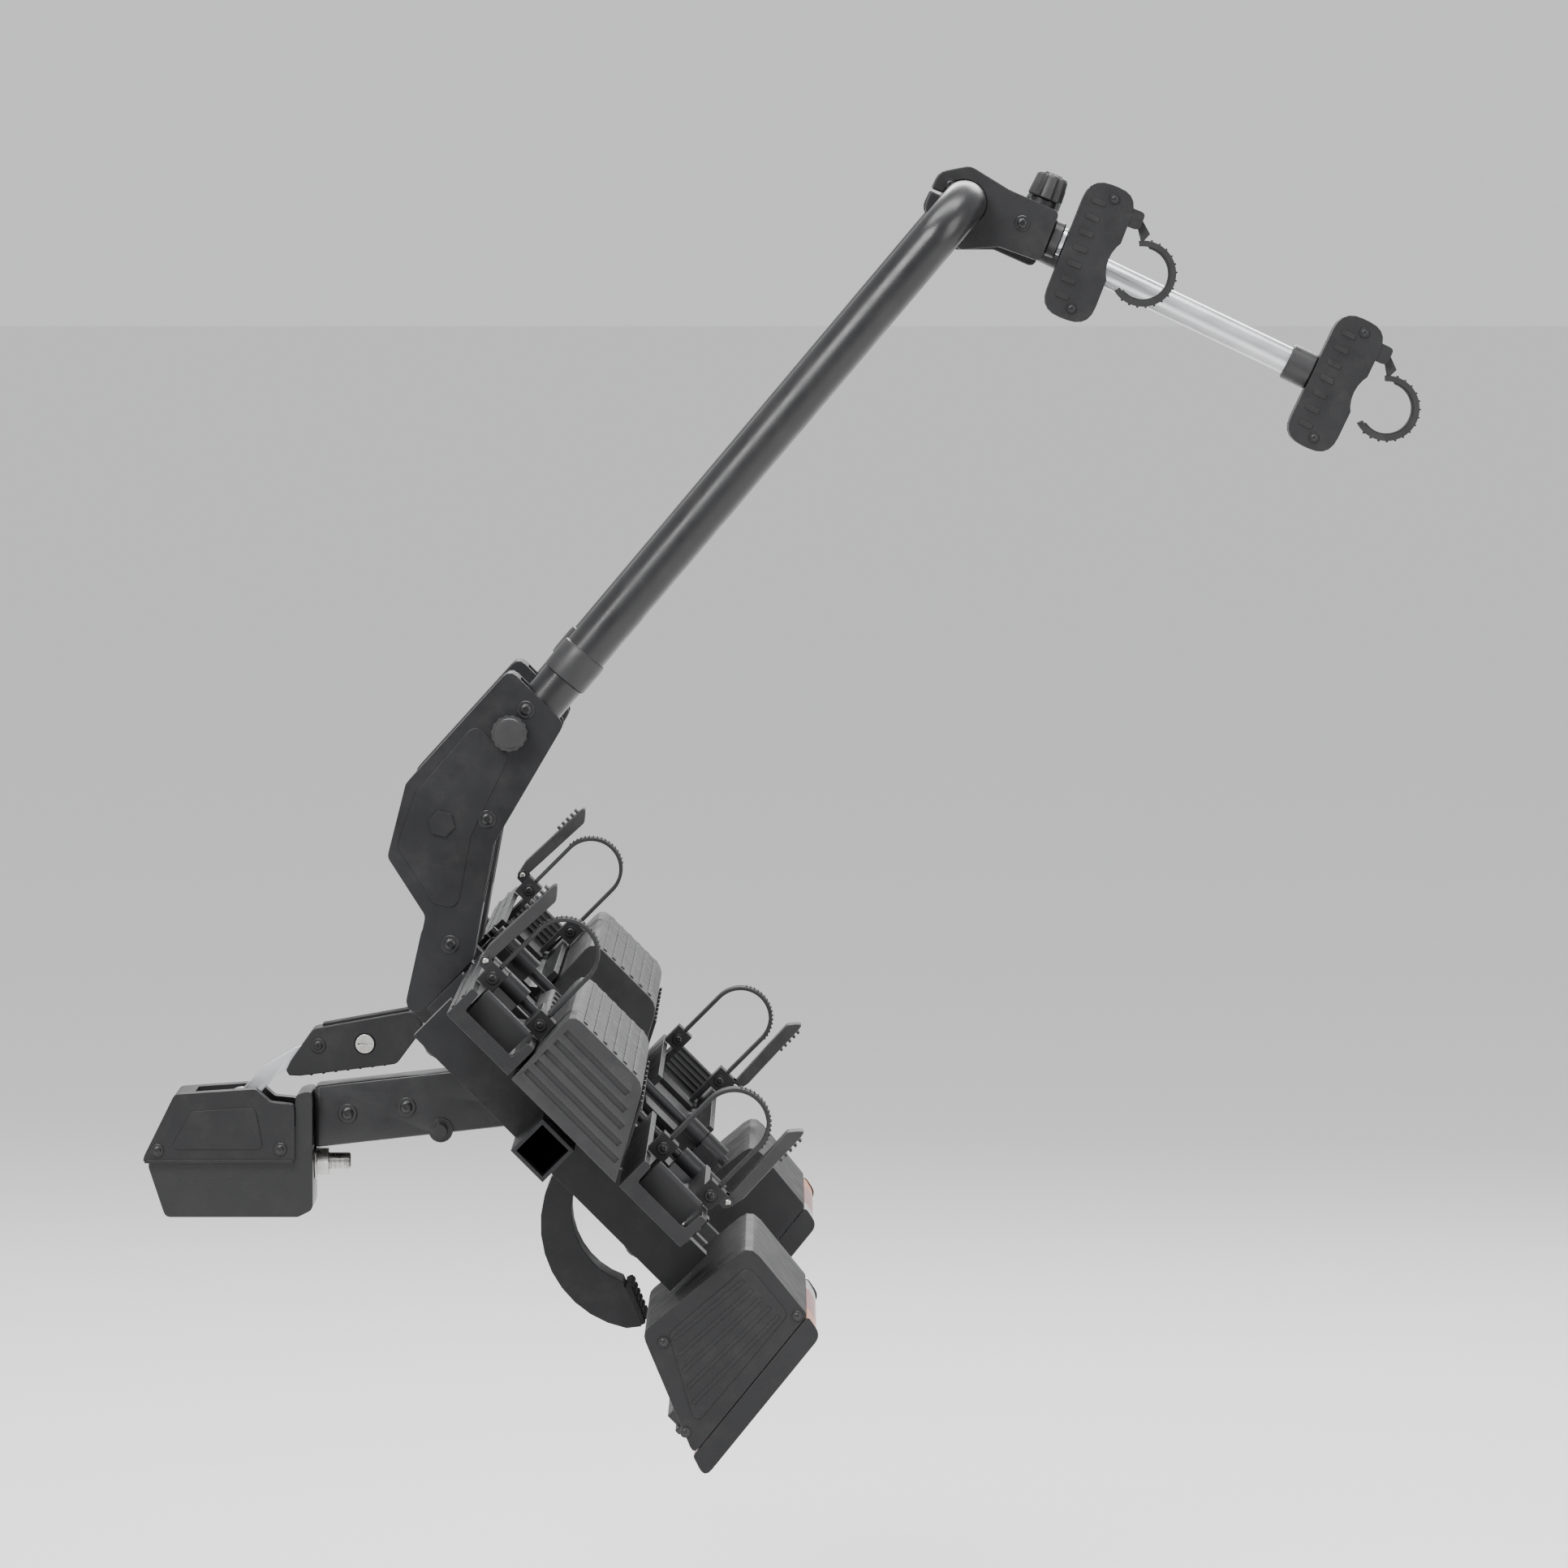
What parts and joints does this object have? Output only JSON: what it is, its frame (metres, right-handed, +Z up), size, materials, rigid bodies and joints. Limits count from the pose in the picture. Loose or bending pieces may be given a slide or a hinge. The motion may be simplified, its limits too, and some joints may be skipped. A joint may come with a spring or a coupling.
{
  "type": "tow ball bike rack",
  "caption": "Tilting platform bike rack that clamps on a tow ball, with folding wings, wheel channels with ratchet straps, a folding U mast and swinging frame clamps.",
  "frame": {"origin": "centre of the 50 mm tow ball that the coupling clamps on", "axes": "+X to the rear of the car, +Y to the car's right, +Z up; the platform is stored tilted down by 45 degrees"},
  "size_m": [1.0427, 1.23, 1.0052],
  "materials": {
    "cover_plastic": "fine-grained moulded black",
    "trim_plastic": "satin moulded dark grey",
    "black_steel": "satin black powder coat",
    "black_aluminium": "black powder coat",
    "bright_aluminium": "satin clear anodised",
    "bright_steel": "zinc plated",
    "liner_plastic": "dark grey bearing plastic",
    "grip_rubber": "ribbed black rubber",
    "strap_rubber": "black rubber over webbing",
    "lamp_red": "clear-coated red lens"
  },
  "bodies": {
    "coupling": {"coupling_housing": "black_steel", "coupling_cover": "cover_plastic", "ball_cup": "liner_plastic", "main_beam": "black_steel", "tilt_shaft": "bright_steel", "adjuster_nut": "bright_steel"},
    "lever": {"lever_arm": "bright_aluminium", "lever_grip": "cover_plastic"},
    "lever_key": {"lever_lock": "bright_steel"},
    "jaw": {"clamp_jaw": "bright_steel"},
    "chassis": {"main_rail_left": "black_steel", "main_rail_right": "black_steel", "front_cross_bar": "black_steel", "rear_cross_tube": "black_steel", "outrigger_left": "black_aluminium", "outrigger_right": "black_aluminium", "mast_bracket_left": "black_aluminium", "mast_bracket_right": "black_aluminium", "centre_cover": "cover_plastic", "plate_holder": "trim_plastic"},
    "mast_lock": {"mast_lock_pin": "trim_plastic"},
    "latch": {"tilt_latch": "bright_steel"},
    "pedal": {"pedal_arm": "black_aluminium", "pedal_pad": "grip_rubber"},
    "mast": {"mast_tube": "black_steel"},
    "arm_short": {"arm_clamp_short": "cover_plastic", "arm_bar_short": "bright_aluminium", "arm_jaw_short": "cover_plastic"},
    "knob_short": {"arm_knob_short": "trim_plastic"},
    "claw_short": {"arm_strap_short": "strap_rubber"},
    "arm_long": {"arm_clamp_long": "cover_plastic", "arm_bar_long": "bright_aluminium", "arm_jaw_long": "cover_plastic"},
    "knob_long": {"arm_knob_long": "trim_plastic"},
    "claw_long": {"arm_strap_long": "strap_rubber"},
    "wing_left": {"wing_frame_left": "black_aluminium", "front_tray_left": "black_aluminium", "rear_tray_left": "black_aluminium", "hump_cover_left": "trim_plastic", "lamp_housing_left": "cover_plastic", "lamp_lens_left": "lamp_red"},
    "holder_front_left": {"wheel_cradle_front_left": "cover_plastic", "wheel_strap_front_left": "strap_rubber"},
    "buckle_front_left": {"wheel_buckle_front_left": "trim_plastic"},
    "holder_rear_left": {"wheel_cradle_rear_left": "cover_plastic", "wheel_strap_rear_left": "strap_rubber"},
    "buckle_rear_left": {"wheel_buckle_rear_left": "trim_plastic"},
    "wing_right": {"wing_frame_right": "black_aluminium", "front_tray_right": "black_aluminium", "rear_tray_right": "black_aluminium", "hump_cover_right": "trim_plastic", "lamp_housing_right": "cover_plastic", "lamp_lens_right": "lamp_red"},
    "holder_front_right": {"wheel_cradle_front_right": "cover_plastic", "wheel_strap_front_right": "strap_rubber"},
    "buckle_front_right": {"wheel_buckle_front_right": "trim_plastic"},
    "holder_rear_right": {"wheel_cradle_rear_right": "cover_plastic", "wheel_strap_rear_right": "strap_rubber"},
    "buckle_rear_right": {"wheel_buckle_rear_right": "trim_plastic"}
  },
  "joints": [
    {"name": "tilt", "type": "hinge", "parent": "coupling", "child": "chassis", "pos_m": [0.294, 0, 0.062], "axis": [0, 1, 0], "range_deg": [-45, 0]},
    {"name": "clamp_lever", "type": "hinge", "parent": "coupling", "child": "lever", "pos_m": [0.04, 0, 0.05], "axis": [0, 1, 0], "range_deg": [-95, 0]},
    {"name": "key_turn", "type": "hinge", "parent": "lever", "child": "lever_key", "pos_m": [0.142, 0, 0.1], "axis": [0, 1, 0], "range_deg": [0, 90]},
    {"name": "jaw_slide", "type": "slide", "parent": "coupling", "child": "jaw", "axis": [1, 0, 0], "range_m": [0, 0.0081]},
    {"name": "mast_fold", "type": "hinge", "parent": "chassis", "child": "mast", "pos_m": [0.20985, 0, 0.28757], "axis": [0, 1, 0], "range_deg": [0, 90]},
    {"name": "mast_lock_pull", "type": "slide", "parent": "chassis", "child": "mast_lock", "axis": [0, -1, 0], "range_m": [0, 0.008], "stiffness_N_per_m": 400, "springref_m": -0.004},
    {"name": "pedal_press", "type": "hinge", "parent": "chassis", "child": "pedal", "pos_m": [0.32653, 0, 0.0125], "axis": [0, 1, 0], "range_deg": [-10, 0]},
    {"name": "latch_turn", "type": "hinge", "parent": "chassis", "child": "latch", "pos_m": [0.25016, 0, 0.10301], "axis": [0, 1, 0], "range_deg": [0, 32]},
    {"name": "arm_short_swing", "type": "hinge", "parent": "mast", "child": "arm_short", "pos_m": [0.62897, -0.042, 0.7844], "axis": [0, 1, 0], "range_deg": [-80, 10]},
    {"name": "knob_short_turn", "type": "hinge", "parent": "arm_short", "child": "knob_short", "pos_m": [0.68481, -0.042, 0.76246], "axis": [0.3657, 0, 0.9307], "continuous": true},
    {"name": "claw_short_open", "type": "hinge", "parent": "arm_short", "child": "claw_short", "pos_m": [0.76767, -0.042, 0.77127], "axis": [0, 1, 0], "range_deg": [-100, 0]},
    {"name": "arm_long_swing", "type": "hinge", "parent": "mast", "child": "arm_long", "pos_m": [0.62897, 0.042, 0.7844], "axis": [0, 1, 0], "range_deg": [-80, 10]},
    {"name": "knob_long_turn", "type": "hinge", "parent": "arm_long", "child": "knob_long", "pos_m": [0.68306, 0.042, 0.75843], "axis": [0.4329, 0, 0.9015], "continuous": true},
    {"name": "claw_long_open", "type": "hinge", "parent": "arm_long", "child": "claw_long", "pos_m": [0.97367, 0.042, 0.66158], "axis": [0, 1, 0], "range_deg": [-100, 0]},
    {"name": "wing_left_fold", "type": "hinge", "parent": "chassis", "child": "wing_left", "pos_m": [0.32582, -0.16, 0.09382], "axis": [0.7071, 0, -0.7071], "range_deg": [-90, 0]},
    {"name": "holder_front_left_slide", "type": "slide", "parent": "wing_left", "child": "holder_front_left", "axis": [0, 1, 0], "range_m": [0, 0.12]},
    {"name": "buckle_front_left_open", "type": "hinge", "parent": "holder_front_left", "child": "buckle_front_left", "pos_m": [0.25652, -0.53, 0.20484], "axis": [0, -1, 0], "range_deg": [0, 60]},
    {"name": "holder_rear_left_slide", "type": "slide", "parent": "wing_left", "child": "holder_rear_left", "axis": [0, 1, 0], "range_m": [0, 0.12]},
    {"name": "buckle_rear_left_open", "type": "hinge", "parent": "holder_rear_left", "child": "buckle_rear_left", "pos_m": [0.44108, -0.53, 0.02028], "axis": [0, 1, 0], "range_deg": [0, 60]},
    {"name": "wing_right_fold", "type": "hinge", "parent": "chassis", "child": "wing_right", "pos_m": [0.32582, 0.16, 0.09382], "axis": [-0.7071, 0, 0.7071], "range_deg": [-90, 0]},
    {"name": "holder_front_right_slide", "type": "slide", "parent": "wing_right", "child": "holder_front_right", "axis": [0, -1, 0], "range_m": [0, 0.12]},
    {"name": "buckle_front_right_open", "type": "hinge", "parent": "holder_front_right", "child": "buckle_front_right", "pos_m": [0.25652, 0.53, 0.20484], "axis": [0, -1, 0], "range_deg": [0, 60]},
    {"name": "holder_rear_right_slide", "type": "slide", "parent": "wing_right", "child": "holder_rear_right", "axis": [0, -1, 0], "range_m": [0, 0.12]},
    {"name": "buckle_rear_right_open", "type": "hinge", "parent": "holder_rear_right", "child": "buckle_rear_right", "pos_m": [0.44108, 0.53, 0.02028], "axis": [0, 1, 0], "range_deg": [0, 60]}
  ],
  "couplings": [
    {"joint": "jaw_slide", "follows": "clamp_lever", "m_per_rad": -0.004825},
    {"joint": "latch_turn", "follows": "pedal_press", "ratio": -3.2}
  ]
}
